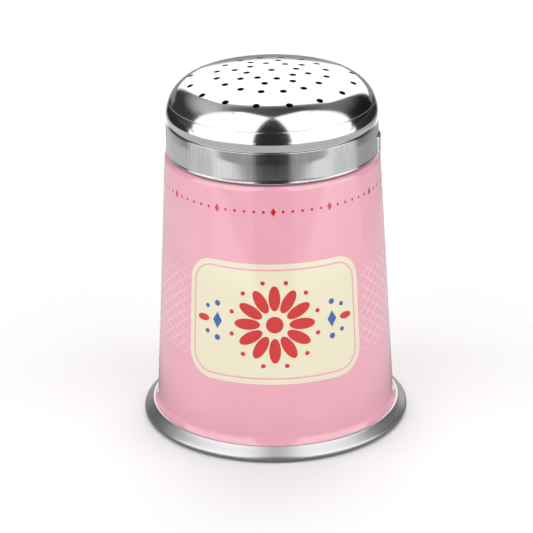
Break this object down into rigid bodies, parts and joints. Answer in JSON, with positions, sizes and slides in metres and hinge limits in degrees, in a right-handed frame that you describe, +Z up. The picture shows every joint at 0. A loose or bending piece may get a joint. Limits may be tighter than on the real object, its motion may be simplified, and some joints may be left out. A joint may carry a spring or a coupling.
{
  "type": "sugar shaker",
  "caption": "Tapered lacquered tin sugar shaker with a flared steel foot and a domed, perforated steel lid that twists to unlock and lifts off to refill.",
  "frame": {"origin": "centre of the foot's rim, on the table", "axes": "+Z up the tin's axis, -Y towards the front of the tin, +X to the right of its front"},
  "size_m": [0.0814, 0.0814, 0.1095],
  "materials": {
    "pink_lacquer": "gloss lacquer on tinplate",
    "foot_steel": "brushed round the axis",
    "neck_steel": "bare satin tinplate",
    "seal_rubber": "soft, pale and slightly glossy",
    "collar_steel": "finely brushed",
    "dome_steel": "polished steel"
  },
  "bodies": {
    "tin": {"body_shell": "pink_lacquer", "base_pan": "foot_steel", "neck_ring": "neck_steel"},
    "seal": {"lid_seal": "seal_rubber"},
    "lid": {"lid_collar": "collar_steel", "lid_dome": "dome_steel"}
  },
  "joints": [
    {"name": "lid_lift", "type": "slide", "parent": "tin", "child": "seal", "axis": [0, 0, 1], "range_m": [0, 0.045]},
    {"name": "lid_twist", "type": "hinge", "parent": "seal", "child": "lid", "pos_m": [0, 0, 0.0985], "axis": [0, 0, 1], "range_deg": [-25, 0]}
  ]
}
